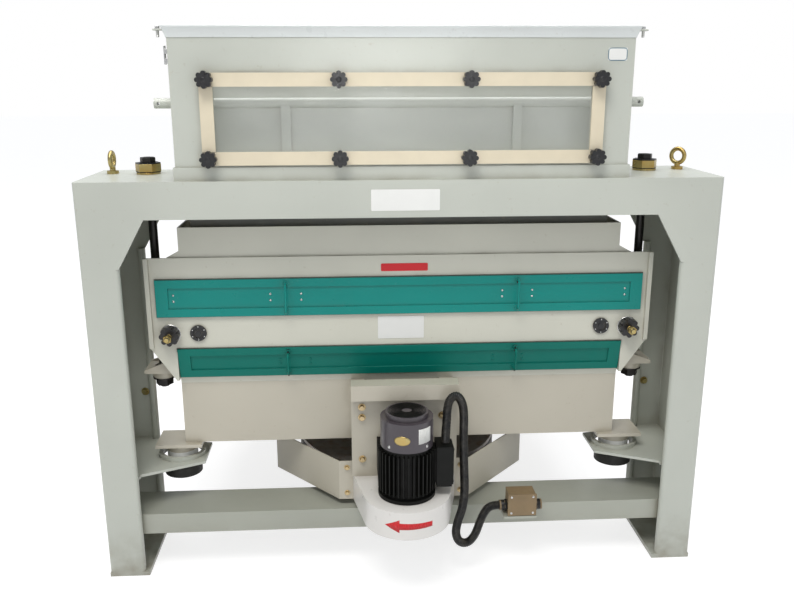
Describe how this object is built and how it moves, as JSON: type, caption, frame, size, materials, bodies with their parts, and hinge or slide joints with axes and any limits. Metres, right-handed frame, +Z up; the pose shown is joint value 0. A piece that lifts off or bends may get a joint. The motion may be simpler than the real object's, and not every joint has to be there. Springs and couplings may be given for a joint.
{
  "type": "rotary grain cleaning sieve",
  "caption": "Rotary cleaning sieve for grain: a sloping screen box hung on four rods from two portals, with a feed box on top, end doors and a belt drive under the front.",
  "frame": {"origin": "on the floor, midway between the outer faces of the two portals and midway across them", "axes": "+X to the right when facing the feed end, -Y towards the feed end, +Z up"},
  "size_m": [1.7, 2.28, 1.515],
  "materials": {
    "portal_paint": "semi-gloss grey-white paint",
    "body_paint": "semi-gloss off-white paint",
    "teal_paint": "semi-gloss teal paint",
    "cream_strip": "cream plastic strip",
    "clear_pane": "clear sheet",
    "dark_plastic": "black moulded plastic",
    "dark_rubber": "black rubber",
    "bright_steel": "turned steel",
    "dark_steel": "blackened steel",
    "dark_iron": "machined cast iron",
    "motor_black": "satin black paint",
    "khaki_plastic": "khaki enclosure",
    "brass": "yellow-passivated steel",
    "black_conduit": "black corrugated conduit"
  },
  "bodies": {
    "portals": {"front_beam": "portal_paint", "rear_beam": "portal_paint", "front_left_leg": "portal_paint", "front_right_leg": "portal_paint", "rear_left_leg": "portal_paint", "rear_right_leg": "portal_paint", "front_cross_tube": "portal_paint", "rear_cross_tube": "portal_paint", "limit_brackets": "portal_paint", "feed_box": "portal_paint", "feed_box_rim": "portal_paint", "feed_chute": "dark_rubber", "window_pane": "clear_pane", "window_frame": "cream_strip", "window_knobs": "dark_plastic", "junction_box": "khaki_plastic", "conduit": "black_conduit", "lifting_eyes": "brass"},
    "hangers": {"front_left_hanger_rod": "dark_steel", "front_right_hanger_rod": "dark_steel", "rear_left_hanger_rod": "dark_steel", "rear_right_hanger_rod": "dark_steel"},
    "screen_box": {"screen_housing": "body_paint", "door_frame": "body_paint", "inlet_hood": "body_paint", "drive_frame": "body_paint", "upper_door": "teal_paint", "lower_door": "teal_paint", "rod_brackets": "body_paint", "limit_posts": "body_paint", "limit_buffers": "dark_rubber", "motor_body": "motor_black", "motor_fan_cover": "motor_black", "terminal_box": "motor_black", "motor_plate": "body_paint", "belt_cover": "body_paint", "wing_guards": "body_paint", "drive_bearing": "dark_iron", "drive_belts": "dark_rubber", "door_fittings": "dark_plastic", "rear_chutes": "body_paint"},
    "flywheel": {"flywheel": "dark_iron"},
    "pulley": {"motor_pulley": "dark_iron"},
    "feed_gate": {"gate_shaft": "bright_steel", "gate_flap": "portal_paint"}
  },
  "joints": [
    {"name": "sway_across", "type": "slide", "parent": "portals", "child": "hangers", "axis": [1, 0, 0], "range_m": [-0.006, 0.006], "stiffness_N_per_m": 9000},
    {"name": "sway_along", "type": "slide", "parent": "hangers", "child": "screen_box", "axis": [0, 1, 0], "range_m": [-0.006, 0.006], "stiffness_N_per_m": 9000},
    {"name": "flywheel_spin", "type": "hinge", "parent": "screen_box", "child": "flywheel", "pos_m": [0, -0.52, 0.24], "axis": [0, 0, 1], "continuous": true},
    {"name": "pulley_spin", "type": "hinge", "parent": "screen_box", "child": "pulley", "pos_m": [0, -1.02, 0.24], "axis": [0, 0, 1], "continuous": true},
    {"name": "gate_tilt", "type": "hinge", "parent": "portals", "child": "feed_gate", "pos_m": [0, -0.83, 1.325], "axis": [1, 0, 0], "range_deg": [-12, 12]}
  ],
  "couplings": [
    {"joint": "pulley_spin", "follows": "flywheel_spin", "ratio": 6.4}
  ]
}
